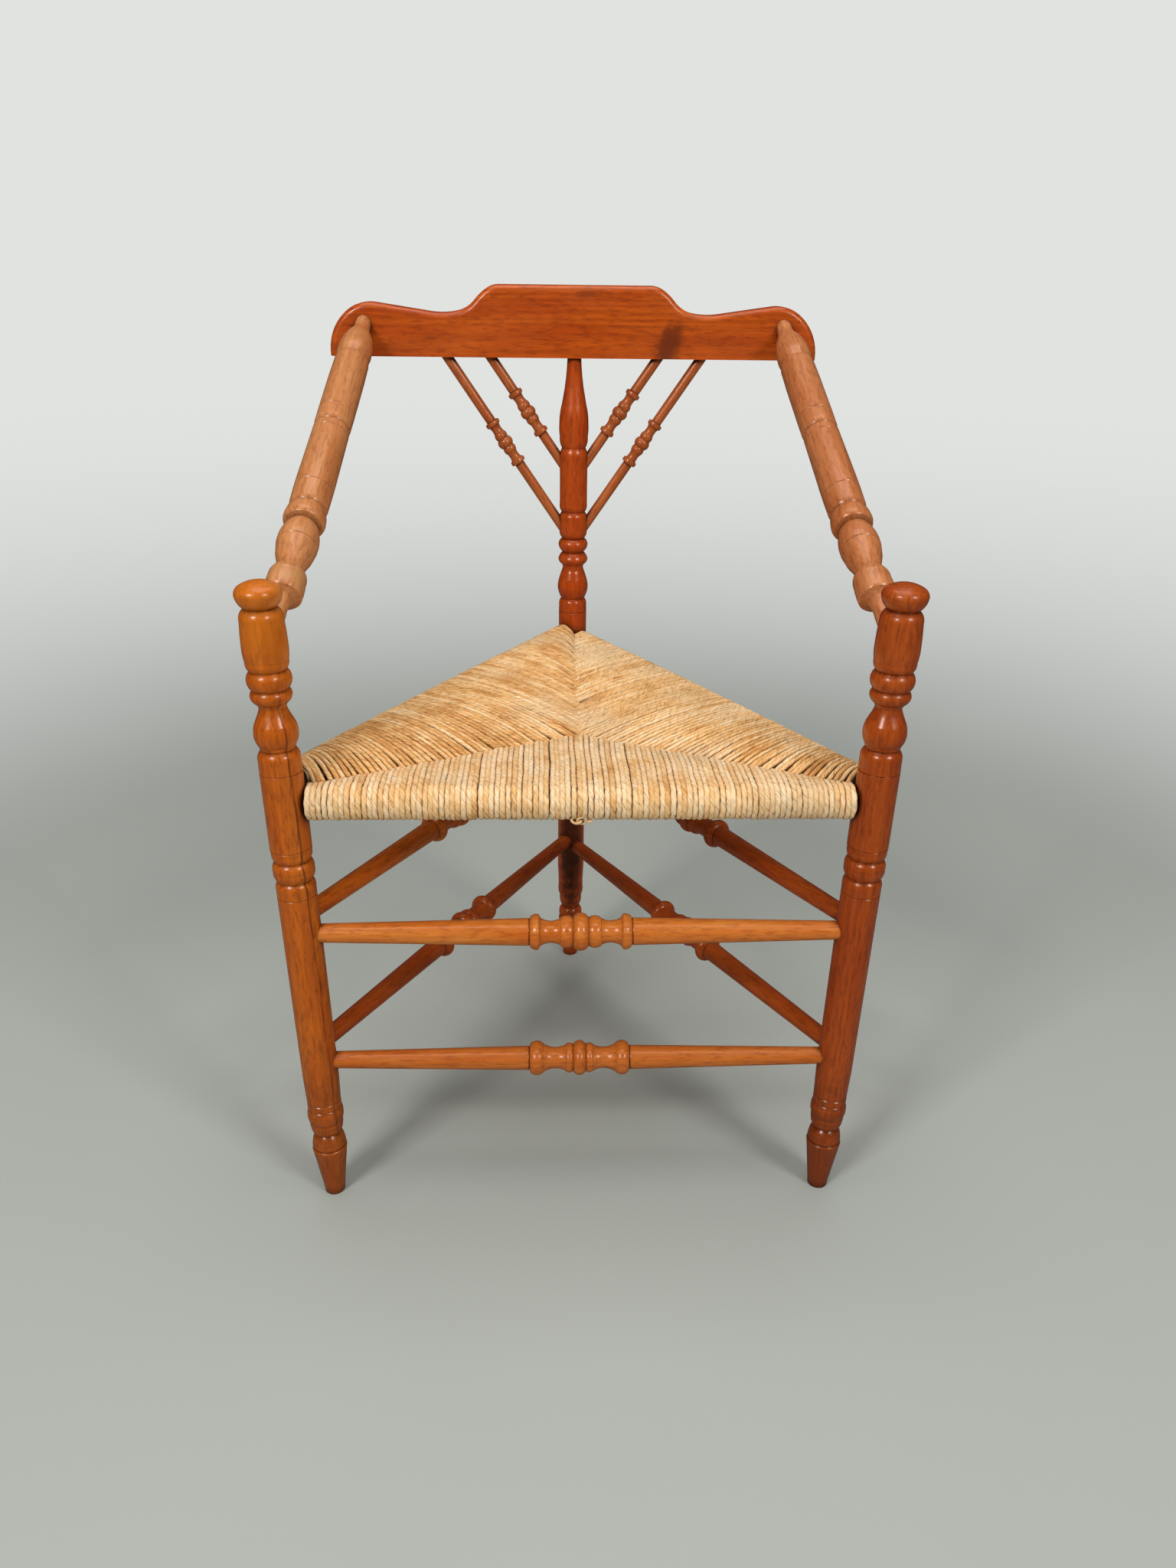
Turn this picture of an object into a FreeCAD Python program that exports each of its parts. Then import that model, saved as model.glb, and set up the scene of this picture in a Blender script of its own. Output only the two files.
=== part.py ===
import FreeCAD, Part
import math
import os
import Sketcher

# Corner chair: three turned legs, a shaped crest rail on the back leg, two sloping
# turned arms, four small spindles, six turned stretchers and a woven rush seat.
# Lengths are in millimetres and angles in degrees. The floor is z = 0, the chair
# faces -y, and the origin is on the floor under the middle of the chair's box.

doc = FreeCAD.newDocument("corner_chair")
V = FreeCAD.Vector


# Driving sizes of the whole chair

chair_sizes = {
    "foot_spread": 484,             # between the axes of the front legs, on the floor
    "splay_angle": 1.56,            # outward lean of the front legs
    "seat_depth": 437,              # from the front legs' axes back to the back leg's axis
    "seat_height": 425,             # axis of the front seat rail
    "arm_rise": 134,                # from the front seat rail up to the arm joint
    "back_rise": 326,               # from the front seat rail up to the crest's underside
    "upper_tier": 295,              # axis of the front upper stretcher
    "lower_tier": 156,              # axis of the front lower stretcher
    "tier_step": 8,                 # how much higher the right side's holes stand, the left's twice
    "foot_waste": 2,                # sawn off the leaning front legs so that the soles lie flat
    "line_width": 1.4,              # incised lines round the turned pieces
    "line_depth": 0.6,
    "glue_gap": 0.1,                # round every tenon and every housed end
    "end_gap": 0.5,                 # between a tenon's tip and the floor of its hole
    "housing_depth": 2.4,           # how far a stretcher's full width enters a leg
    "stretcher_tenon_width": 10,
    "stretcher_tenon_length": 7,
    "rail_width": 22,
    "rail_tenon_width": 11,
    "rail_tenon_length": 9.7,
    "rail_gap": 0.7,                # between a rail's shoulder and the leaning leg
    "arm_tenon_length": 10,         # into the crest, from its front face
    "arm_crest_out": 223.5,         # where the arm meets the crest: out from the middle
    "arm_crest_up": 32,             # and above the crest's underside
    "spindle_tenon_length": 12,     # into the crest, from its underside
    "spindle_width": 10.8,          # both ends of a spindle
    "spindle_tip": 10.5,            # from the back leg's axis to the spindle's lower tip
    "outer_spindle_out": 137.2,     # where the spindles leave the crest's underside
    "inner_spindle_out": 90.4,
    "outer_spindle_drop": 200.8,    # down from there to where they aim on the back leg's axis
    "inner_spindle_drop": 130.2,
    "outer_spindle_ball": 108.7,    # from the crest's underside down to the ball's middle
    "inner_spindle_ball": 70.1,
    "crest_thickness": 24,
    "crest_round": 6,               # round-over of the crest's top and end edges
    "roll_width": 32,               # rush wound round a rail
    "rush_gap": 0.3,                # between the rush and the wood or stuffing
    "seam_point": 133,              # where the rush seams meet, behind the front legs' axes
    "seam_sag": 7.4,                # how far the seams' meeting point lies below the front roll's top
    "seam_thickness": 26,           # of the seat there
    "rush_layer": 5,                # thickness of the woven layers over and under the stuffing
    "stuffing_share": 0.62,         # how far towards each corner the stuffing reaches
    "stuffing_ease": 0.01,          # extra share of the hollow that holds it
}


# Turned outlines. Each row is a feature, the height it is measured from, how far above
# that it stands, the diameter there, and how far the outline bulges out (or, if negative,
# in) between this row and the next. A row that ends in "line" is an incised line, and
# "dome" closes the top with part of a ball.

front_leg = [
    ("end", "end", 0, 17, 0.5),
    ("toe", "floor", 3, 19.6, 0),
    ("foot", "floor", 53, 33, 0.8),
    ("foot_groove", "floor", 56.5, 30, 0.8),
    ("cushion", "floor", 62, 31, 1.2),
    ("waist", "floor", 72.5, 22.5, 1.2),
    ("ankle_low", "floor", 81.5, 30.5, 0.6),
    ("ankle_groove", "floor", 87, 30.6, 0.8),
    ("ankle", "floor", 96.5, 34, 0.4),
    ("ankle_top", "floor", 101, 31.8, 0),
    ("ankle_line", "floor", 103.6, 31.9, "line"),
    ("shin_line", "floor", 111.6, 31.9, "line"),
    ("leg", "floor", 139, 33.7, 0),
    ("under_line", "seat", -89.2, 34.9, "line"),
    ("under_shoulder", "seat", -82, 35, 1),
    ("under_groove", "seat", -74, 29.4, 1.4),
    ("under_bead", "seat", -64, 36, 1.4),
    ("bead_groove", "seat", -54.6, 30, 1),
    ("rail_shoulder", "seat", -47, 35.2, 0),
    ("rail_line", "seat", -42.5, 36.2, "line"),
    ("cuff_line", "arm", -104.5, 36.2, "line"),
    ("cuff", "arm", -93, 35.8, 1.2),
    ("vase_groove", "arm", -84.2, 28.2, 0.3),
    ("vase_low", "arm", -80.5, 31, 1),
    ("vase", "arm", -69.5, 37, 0.35),
    ("vase_high", "arm", -61.3, 34, 0),
    ("vase_slope", "arm", -53.2, 26.6, -0.2),
    ("vase_neck", "arm", -47, 22.6, 0),
    ("ring_foot", "arm", -43.6, 25.6, 1),
    ("lower_ring", "arm", -36.8, 34.8, 0.6),
    ("ring_groove", "arm", -31.4, 30, 1),
    ("upper_ring", "arm", -23, 37.2, 0.9),
    ("barrel_groove", "arm", -15, 30.2, 1),
    ("barrel_low", "arm", -7, 35.6, 0.3),
    ("barrel", "arm", 4, 37.6, 0.2),
    ("barrel_high", "arm", 27, 35.6, 1.5),
    ("finial_groove", "arm", 37, 26.5, 1.4),
    ("finial", "arm", 48.5, 38.5, 1),
    ("finial_shoulder", "arm", 55.1, 30, "dome"),
    ("finial_top", "arm", 59, 0, 0),
]

back_leg = [
    ("end", "end", 0, 16.5, 0.4),
    ("toe", "floor", 3, 18.6, 0),
    ("foot", "floor", 53, 30, 0.7),
    ("foot_groove", "floor", 57.5, 27, 0.7),
    ("cushion", "floor", 65.5, 29, 1),
    ("waist", "floor", 72.7, 19.5, 0.9),
    ("ankle_low", "floor", 82, 27.6, 0.4),
    ("ankle_groove", "floor", 88.5, 27, 0.7),
    ("ankle", "floor", 97.8, 31.6, 0.3),
    ("ankle_top", "floor", 102.5, 31, 0),
    ("ankle_line", "floor", 109, 31, "line"),
    ("leg", "floor", 132, 33, 0),
    ("cuff_line", "crest", -281, 32.2, "line"),
    ("cuff", "crest", -272, 31.8, 0.8),
    ("vase_groove", "crest", -265.5, 26.2, 0.3),
    ("vase_low", "crest", -261, 31, 0.5),
    ("vase", "crest", -251.7, 35, 0.3),
    ("vase_high", "crest", -242, 31.6, 0),
    ("vase_slope", "crest", -234.5, 26.8, -0.2),
    ("vase_neck", "crest", -229, 23.4, 0),
    ("ring_foot", "crest", -225.8, 24.8, 0.9),
    ("lower_ring", "crest", -219.5, 33.7, 0.9),
    ("ring_groove", "crest", -211.2, 23.6, 1.1),
    ("upper_ring", "crest", -202.3, 33.5, 1),
    ("bulb_groove", "crest", -195.4, 24.8, 0.9),
    ("bulb_low", "crest", -188, 31.2, 0.3),
    ("bulb_high", "crest", -174, 31.2, 1),
    ("column_groove", "crest", -165.5, 26, 1),
    ("column_low", "crest", -157, 30.8, 0),
    ("column_high", "crest", -106, 31, 0.9),
    ("bottle_groove", "crest", -95, 26.2, 1),
    ("bottle_low", "crest", -83, 31.2, 0.4),
    ("bottle", "crest", -69, 32.4, 0.7),
    ("bottle_high", "crest", -48, 26.8, 0),
    ("bottle_neck", "crest", -30, 20.4, -0.4),
    ("crest_neck", "crest", 0, 15, 0),
    ("tenon_top", "crest", 22, 15, 0),
]

arm = [
    ("end", "end", 0, 12, 0),
    ("crest_tenon", "crest", -4, 12, 0),
    ("crest_end", "crest", -4, 16.4, 0),
    ("crest_neck", "crest", 9, 16.4, -0.5),
    ("bell_low", "crest", 24, 25, 1.2),
    ("bell", "crest", 52, 34.6, 1),
    ("bell_groove", "crest", 68.7, 29.8, 0.9),
    ("shaft_start", "crest", 75, 34.8, 0),
    ("shaft", "crest", 100, 35.6, 0),
    ("upper_line", "crest", 162.6, 35.6, "line"),
    ("middle_shoulder", "crest", 178, 35.3, 0.9),
    ("middle_groove", "crest", 185.2, 29.6, 0.7),
    ("middle_lip", "crest", 189.5, 34.8, 0),
    ("lip_line", "crest", 196.3, 34.9, "line"),
    ("lower_shaft", "leg", -220.6, 36, 0),
    ("lower_line", "leg", -202.6, 36, "line"),
    ("flange_shoulder", "leg", -184, 35.4, 0.9),
    ("flange_groove", "leg", -176, 29.6, 0.3),
    ("flange_back", "leg", -172.5, 35.2, 0.3),
    ("flange", "leg", -162, 38, 0.6),
    ("flange_front", "leg", -156.4, 34, 0),
    ("vase_start", "leg", -154.4, 26, 1.8),
    ("vase_line", "leg", -127.6, 36.4, "line"),
    ("vase_low", "leg", -114, 32.2, 0),
    ("collar_neck", "leg", -99.4, 22.8, 0),
    ("collar_foot", "leg", -96, 23.8, 0.5),
    ("collar_back", "leg", -91.5, 30.4, 0.6),
    ("collar", "leg", -84, 33, 0.4),
    ("collar_rim", "leg", -66, 33.4, 0),
    ("collar_front", "leg", -64.6, 31.5, -0.6),
    ("leg_flare", "leg", -61, 19, -0.9),
    ("leg_neck", "leg", -44, 15.4, 0),
    ("leg_end", "leg", -12, 15.4, 0),
    ("leg_tenon", "leg", -12, 10, 0),
    ("leg_tip", "leg", -4, 10, 0),
]


# Half of the turned middle of each kind of stretcher and of the spindles, measured from
# the ball's middle outward. The first row's own bulge is the bead beside the ball.

upper_stretcher = [
    ("ball_edge", 7.1, 26, 1.6),
    ("bead_edge", 18, 26.6, 0),
    ("neck", 18.6, 24.6, -2.7),
    ("flange_foot", 36.6, 26, 0),
    ("flange_in", 37.8, 30.8, 0.5),
    ("flange_top", 41, 32.4, 0.5),
    ("flange_out", 45.8, 27.6, 0),
    ("flange_groove", 46.3, 24, 0),
    ("shaft", 47.6, 25, 0),
]

lower_stretcher = [
    ("ball_edge", 6, 25.4, 1.1),
    ("bead_edge", 12.6, 26, 0),
    ("neck", 13.2, 24.6, -2.8),
    ("flange_foot", 34, 26.6, 2.8),
    ("flange_out", 46.6, 26.8, 0),
    ("flange_groove", 47.2, 21.8, 0),
    ("shaft", 48.4, 22.6, 0),
]

side_stretcher = [
    ("ball_edge", 6.5, 23, 1.5),
    ("bead_edge", 16, 23.4, 0),
    ("neck", 16.6, 21.8, -1.4),
    ("flange_foot", 37, 23, 3.8),
    ("flange_out", 48.6, 22.6, 0),
    ("flange_groove", 49.2, 19.8, 0),
    ("shaft", 50.4, 20.8, 0),
]

spindle = [
    ("ball_edge", 5, 12.4, 0.8),
    ("bead_edge", 11.5, 12.6, 0),
    ("neck", 12, 11.8, -0.6),
    ("flange_foot", 21, 12, 0),
    ("flange_in", 22.2, 15.8, 0.2),
    ("flange_out", 26, 16, 0),
    ("flange_groove", 27.2, 10.2, 0),
    ("shaft", 28, 10.8, 0),
]

middles = {
    "upper_stretcher": upper_stretcher,
    "lower_stretcher": lower_stretcher,
    "side_stretcher": side_stretcher,
    "spindle": spindle,
}

ball_widths = {
    "upper_stretcher": 34.6,
    "lower_stretcher": 32.8,
    "side_stretcher": 31,
    "spindle": 17,
}

end_widths = {
    "upper_stretcher": 17.2,
    "lower_stretcher": 16,
    "side_stretcher": 16.6,
}


# Right half of the crest's outline, from its lower corner up over the lobe, down into
# the dip and up the ogee to the flat middle: how far out, how high, and the bulge.

crest_outline = [
    ("corner", 260.2, 0, 6.8),
    ("end_curve", 239, 46.7, 2.6),
    ("lobe", 212, 53.7, 0),
    ("dip_start", 152, 45, -1.1),
    ("dip", 125, 46, -1.9),
    ("ogee", 106, 57.5, 0.7),
    ("brow", 93, 69, 0.75),
    ("flat", 82, 72.5, 0),
]


# The sheets. Sizes holds every driving size, Lengths what follows from where the joints lie.

sizes = doc.addObject("Spreadsheet::Sheet", "Sizes")
lengths = doc.addObject("Spreadsheet::Sheet", "Lengths")
rows_used = {"Sizes": 0, "Lengths": 0}


def note(sheet, name, number):
    rows_used[sheet.Name] += 1
    row = rows_used[sheet.Name]
    sheet.set(f"A{row}", name)
    sheet.set(f"B{row}", f"{number:.9g}")
    sheet.setAlias(f"B{row}", name)


def note_outline(piece, rows):
    for feature, _, up, width, bulge in rows:
        note(sizes, f"{piece}_{feature}_up", up)
        note(sizes, f"{piece}_{feature}_width", width)
        if bulge not in (0, "line", "dome"):
            note(sizes, f"{piece}_{feature}_bulge", bulge)


for name, number in chair_sizes.items():
    note(sizes, name, number)
note_outline("front_leg", front_leg)
note_outline("back_leg", back_leg)
note_outline("arm", arm)
for piece, rows in middles.items():
    note(sizes, f"{piece}_ball_width", ball_widths[piece])
    note_outline(piece, [(feature, "middle", out, width, bulge) for feature, out, width, bulge in rows])
for piece, width in end_widths.items():
    note(sizes, f"{piece}_end_width", width)
for feature, out, up, bulge in crest_outline:
    note(sizes, f"crest_{feature}_out", out)
    note(sizes, f"crest_{feature}_up", up)
    if bulge:
        note(sizes, f"crest_{feature}_bulge", bulge)
doc.recompute()


def size(name):
    return float(sizes.get(name))


# Where the joints lie

lean = math.radians(size("splay_angle"))
crest_height = size("seat_height") + size("back_rise")
arm_height = size("seat_height") + size("arm_rise")
front_reach = size("front_leg_finial_width") / 2
back_reach = size("back_leg_vase_width") / 2
front_y = -(size("seat_depth") + back_reach - front_reach) / 2
back_y = front_y + size("seat_depth")
crest_face_y = back_y - size("crest_thickness") / 2
left, right = -1, 1


def front_axis(side, height):
    return V(side * (size("foot_spread") / 2 + height * math.tan(lean)), front_y, height)


def back_axis(height):
    return V(0, back_y, height)


def arm_joint(side):
    return V(side * size("arm_crest_out"), crest_face_y, crest_height + size("arm_crest_up"))


def spindle_joint(side, rank):
    return V(side * size(f"{rank}_spindle_out"), back_y, crest_height)


def spindle_aim(rank):
    return back_axis(crest_height - size(f"{rank}_spindle_drop"))


def toward(start, end):
    return (end - start).normalize()


def aimed(start, direction):
    return FreeCAD.Placement(start, FreeCAD.Rotation(V(0, 0, 1), direction))


def tier_runs(height):
    step = size("tier_step")
    return {
        "front": (front_axis(left, height), front_axis(right, height)),
        "right": (front_axis(right, height + step), back_axis(height + step)),
        "left": (front_axis(left, height + 2 * step), back_axis(height + 2 * step)),
    }


rail_runs = tier_runs(size("seat_height"))
upper_runs = tier_runs(size("upper_tier"))
lower_runs = tier_runs(size("lower_tier"))
arm_reach = (front_axis(right, arm_height) - arm_joint(right)).Length

note(lengths, "seat_up_leg", size("seat_height") / math.cos(lean))
note(lengths, "arm_up_leg", arm_height / math.cos(lean))
note(lengths, "arm_reach", arm_reach)
note(lengths, "crest_height", crest_height)
for rank in ("outer", "inner"):
    note(lengths, f"{rank}_spindle_reach", (spindle_aim(rank) - spindle_joint(right, rank)).Length)
for tier, runs in (("rail", rail_runs), ("upper", upper_runs), ("lower", lower_runs)):
    for place, (start, end) in runs.items():
        note(lengths, f"{place}_{tier}_span", (end - start).Length)
doc.recompute()


# Outlines as corners: a name, the expressions for its two coordinates and for the bulge
# of the edge that leaves it, or None for a straight edge and "dome" for a ball's arc.

def corners_of(piece, rows, datums):
    corners = []
    for feature, datum, _, _, bulge in rows:
        name = f"{piece}_{feature}"
        across = f"Sizes.{name}_width / 2"
        up = f"{datums[datum]} + Sizes.{name}_up"
        if bulge == "line":
            corners.append((f"{feature}_below", across, f"{up} - Sizes.line_width / 2", None))
            corners.append((feature, f"{across} - Sizes.line_depth", up, None))
            corners.append((f"{feature}_above", across, f"{up} + Sizes.line_width / 2", None))
        elif bulge == "dome":
            corners.append((feature, across, up, "dome"))
        else:
            curve = f"Sizes.{name}_bulge" if bulge else None
            corners.append((feature, across, up, curve))
    return corners


def middle_corners(piece, middle):
    rows = middles[piece]
    below = []
    above = []
    for feature, _, _, bulge in rows:
        name = f"{piece}_{feature}"
        across = f"Sizes.{name}_width / 2"
        curve = f"Sizes.{name}_bulge" if bulge else None
        below.append((f"{feature}_below", across, f"{middle} - Sizes.{name}_up", curve))
        above.append((f"{feature}_above", across, f"{middle} + Sizes.{name}_up", curve))
    # Going up, each lower corner's edge is the one that its inner neighbour owns
    ball = f"(Sizes.{piece}_ball_width - Sizes.{piece}_ball_edge_width) / 2"
    curves = [ball] + [corner[3] for corner in below[:-1]]
    below = [corner[:3] + (curve,) for corner, curve in zip(below, curves)]
    return below[::-1] + above


def number(expression):
    return float(sizes.evalExpression(expression))


def origin_plane(body, role):
    return next(feature for feature in body.Origin.OriginFeatures if feature.Role == role)


def fix_corner(sketch, edge, spot, corner):
    # Places a corner by its two distances from the sketch's origin, or on an axis
    name, across, up, _ = corner
    rules = (("DistanceX", "across", across, -2), ("DistanceY", "up", up, -1))
    for kind, suffix, expression, axis in rules:
        value = number(expression)
        if abs(value) < 1e-7:
            sketch.addConstraint(Sketcher.Constraint("PointOnObject", edge, spot, axis))
            continue
        rule = sketch.addConstraint(Sketcher.Constraint(kind, -1, 1, edge, spot, value))
        sketch.renameConstraint(rule, f"{name}_{suffix}")
        sketch.setExpression(f"Constraints.{name}_{suffix}", expression)


def dome_bulge(start, end):
    rise = end.y - start.y
    radius = (start.x ** 2 + rise ** 2) / (2 * rise)
    return radius - math.sqrt(radius ** 2 - ((end - start).Length / 2) ** 2)


def draw_outline(sketch, corners):
    # Draws a closed outline through the corners. Arcs run anticlockwise in a sketch, so
    # an edge that bulges to the left of its way is drawn from its far end.
    spots = []
    radii = []
    count = len(corners)
    points = [V(number(corner[1]), number(corner[2]), 0) for corner in corners]
    for edge, corner in enumerate(corners):
        start = points[edge]
        end = points[(edge + 1) % count]
        curve = corner[3]
        if curve is None:
            sketch.addGeometry(Part.LineSegment(start, end))
            spots.append((1, 2))
            continue
        chord = end - start
        bulge = dome_bulge(start, end) if curve == "dome" else number(curve)
        top = (start + end) / 2 + V(chord.y, -chord.x, 0).normalize() * bulge
        near, far = (start, end) if bulge > 0 else (end, start)
        sketch.addGeometry(Part.Arc(near, top, far))
        spots.append((1, 2) if bulge > 0 else (2, 1))
        radii.append((edge, corner, corners[(edge + 1) % count], chord.Length ** 2 / (8 * bulge) + bulge / 2))
    for edge in range(count):
        following = (edge + 1) % count
        sketch.addConstraint(
            Sketcher.Constraint("Coincident", edge, spots[edge][1], following, spots[following][0])
        )
    for edge, corner in enumerate(corners):
        fix_corner(sketch, edge, spots[edge][0], corner)
    for edge, corner, after, radius in radii:
        name, across, up, curve = corner
        if curve == "dome":
            sketch.addConstraint(Sketcher.Constraint("PointOnObject", edge, 3, -2))
            continue
        rule = sketch.addConstraint(Sketcher.Constraint("Radius", edge, abs(radius)))
        sketch.renameConstraint(rule, f"{name}_radius")
        squares = f"((({after[1]}) - ({across}))^2 + (({after[2]}) - ({up}))^2)"
        sketch.setExpression(f"Constraints.{name}_radius", f"abs({squares} / (8 * {curve}) + {curve} / 2)")


def sketched_body(name, corners):
    body = doc.addObject("PartDesign::Body", name)
    sketch = body.newObject("Sketcher::SketchObject", f"{name}_outline")
    sketch.AttachmentSupport = (origin_plane(body, "XZ_Plane"), "")
    sketch.MapMode = "FlatFace"
    draw_outline(sketch, corners)
    return body, sketch


def turned(name, corners, placement):
    # A turned piece: half of its outline, closed along its axis and turned about it
    on_axis = [("start", "0", corners[0][2], None)] + corners
    if number(corners[-1][1]) > 0:
        on_axis.append(("finish", "0", corners[-1][2], None))
    body, sketch = sketched_body(name, on_axis)
    turning = body.newObject("PartDesign::Revolution", f"{name}_turning")
    turning.Profile = sketch
    turning.ReferenceAxis = (sketch, ["V_Axis"])
    turning.Angle = 360
    body.Placement = placement
    return body


def drill(name, start, direction, width, depth):
    tool = doc.addObject("Part::Cylinder", name)
    tool.setExpression("Radius", f"({width}) / 2 + Sizes.glue_gap")
    tool.Height = depth
    tool.Placement = aimed(start, direction)
    return tool


def cut_out(name, base, tools):
    joined = doc.addObject("Part::MultiFuse", f"{name}_tools")
    joined.Shapes = tools
    piece = doc.addObject("Part::Cut", name)
    piece.Base = base
    piece.Tool = joined
    return piece


pieces = {}


def keep(name, piece):
    piece.Label = name
    pieces[name] = piece


# Reaches from a leg's axis along a piece that enters it

leg_radius = size("front_leg_leg_width") / 2
seat_radius = size("front_leg_rail_line_width") / 2
shoulder_reach = leg_radius - size("housing_depth")
stretcher_tip = shoulder_reach - size("stretcher_tenon_length")
rail_shoulder = seat_radius + size("rail_gap")
rail_tip = rail_shoulder - size("rail_tenon_length")
clear_reach = 1.5 * seat_radius
note(lengths, "shoulder_reach", shoulder_reach)
note(lengths, "stretcher_tip", stretcher_tip)
note(lengths, "rail_shoulder", rail_shoulder)
note(lengths, "rail_tip", rail_tip)
doc.recompute()


# Holes that the stretchers, rails, arms and spindles need

def hole(name, axis_point, direction, width, from_reach, to_reach):
    return drill(name, axis_point + direction * from_reach, direction, width, to_reach - from_reach)


def stretcher_holes(name, kind, axis_point, direction):
    tip = stretcher_tip - size("end_gap")
    housing = shoulder_reach - size("glue_gap")
    return [
        hole(f"{name}_hole", axis_point, direction, "Sizes.stretcher_tenon_width", tip, clear_reach),
        hole(f"{name}_housing", axis_point, direction, f"Sizes.{kind}_end_width", housing, clear_reach),
    ]


def rail_hole(name, axis_point, direction):
    tip = rail_tip - size("end_gap")
    return hole(name, axis_point, direction, "Sizes.rail_tenon_width", tip, clear_reach)


def leg_holes(leg, corner, places):
    # Every hole of one leg: corner is 0 where a run starts at this leg and 1 where it ends
    tools = []
    for place in places:
        at = corner if isinstance(corner, int) else corner[place]
        tiers = (
            ("upper", upper_runs, "upper_stretcher"),
            ("lower", lower_runs, "lower_stretcher"),
        )
        for tier, runs, kind in tiers:
            start, end = runs[place][at], runs[place][1 - at]
            used = kind if place == "front" else "side_stretcher"
            tools += stretcher_holes(f"{leg}_{place}_{tier}", used, start, toward(start, end))
        start, end = rail_runs[place][at], rail_runs[place][1 - at]
        tools.append(rail_hole(f"{leg}_{place}_rail", start, toward(start, end)))
    return tools


def arm_holes(name, side):
    joint = front_axis(side, arm_height)
    direction = toward(joint, arm_joint(side))
    shoulder = -size("arm_leg_end_up") - size("glue_gap")
    tip = -size("arm_leg_tip_up") - size("end_gap")
    return [
        hole(f"{name}_arm", joint, direction, "Sizes.arm_leg_tip_width", tip, clear_reach * 2),
        hole(f"{name}_arm_housing", joint, direction, "Sizes.arm_leg_end_width", shoulder, clear_reach * 2),
    ]


def below_floor(name, axis_point):
    side = 4 * leg_radius
    box = doc.addObject("Part::Box", f"{name}_floor")
    box.Length = side
    box.Width = side
    box.setExpression("Height", "5 * Sizes.foot_waste")
    box.Placement.Base = V(axis_point.x - side / 2, axis_point.y - side / 2, -5 * size("foot_waste"))
    return box


# Legs

front_datums = {
    "end": "0",
    "floor": "Sizes.foot_waste",
    "seat": "Sizes.foot_waste + Lengths.seat_up_leg",
    "arm": "Sizes.foot_waste + Lengths.arm_up_leg",
}
back_datums = {
    "end": "0",
    "floor": "Sizes.foot_waste",
    "crest": "Sizes.foot_waste + Lengths.crest_height",
}

leg_runs = (
    ("front_left_leg", left, ("front", "left"), {"front": 0, "left": 0}),
    ("front_right_leg", right, ("front", "right"), {"front": 1, "right": 0}),
)
for name, side, places, corner in leg_runs:
    foot = front_axis(side, 0)
    up = toward(foot, front_axis(side, arm_height))
    body = turned(
        f"{name}_turned",
        corners_of("front_leg", front_leg, front_datums),
        aimed(foot - up * size("foot_waste"), up),
    )
    tools = leg_holes(name, corner, places)
    tools += arm_holes(name, side)
    tools.append(below_floor(name, foot))
    keep(name, cut_out(name, body, tools))

back_foot = back_axis(-size("foot_waste"))
back_body = turned(
    "back_leg_turned",
    corners_of("back_leg", back_leg, back_datums),
    aimed(back_foot, V(0, 0, 1)),
)
back_tools = leg_holes("back_leg", 1, ("left", "right"))
for side, word in ((left, "left"), (right, "right")):
    for rank in ("outer", "inner"):
        target = spindle_aim(rank)
        tip = size("spindle_tip") - size("end_gap")
        back_tools.append(
            hole(
                f"back_leg_{word}_{rank}_spindle",
                target,
                toward(target, spindle_joint(side, rank)),
                "Sizes.spindle_width",
                tip,
                tip + 2 * clear_reach,
            )
        )
back_tools.append(below_floor("back_leg", back_foot))
keep("back_leg", cut_out("back_leg", back_body, back_tools))


# Crest rail

def crest_corners():
    rights = []
    for feature, _, _, bulge in crest_outline:
        name = f"Sizes.crest_{feature}"
        curve = f"{name}_bulge" if bulge else None
        rights.append((f"{feature}_right", f"{name}_out", f"{name}_up", curve))
    curves = [None] + [corner[3] for corner in rights[:-1]]
    lefts = [
        (corner[0].replace("right", "left"), f"-{corner[1]}", corner[2], curve)
        for corner, curve in zip(rights, curves)
    ]
    return rights + lefts[::-1]


crest_body, crest_sketch = sketched_body("crest_rail_board", crest_corners())
crest_pad = crest_body.newObject("PartDesign::Pad", "crest_rail_pad")
crest_pad.Profile = crest_sketch
crest_pad.SideType = "Symmetric"
crest_pad.setExpression("Length", "Sizes.crest_thickness")
doc.recompute()


def rounded_edges(shape, half_thickness):
    # The edges of the two broad faces, apart from the straight one underneath
    names = []
    for index, edge in enumerate(shape.Edges, 1):
        flat = all(abs(abs(vertex.Y) - half_thickness) < 1e-6 for vertex in edge.Vertexes)
        same_side = abs(edge.Vertexes[0].Y - edge.Vertexes[-1].Y) < 1e-6
        if flat and same_side and edge.CenterOfMass.z > 1e-3:
            names.append(f"Edge{index}")
    return names


crest_fillet = crest_body.newObject("PartDesign::Fillet", "crest_rail_round")
crest_fillet.Base = (crest_pad, rounded_edges(crest_pad.Shape, size("crest_thickness") / 2))
crest_fillet.setExpression("Radius", "Sizes.crest_round")
crest_body.Placement.Base = V(0, back_y, crest_height)

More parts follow.
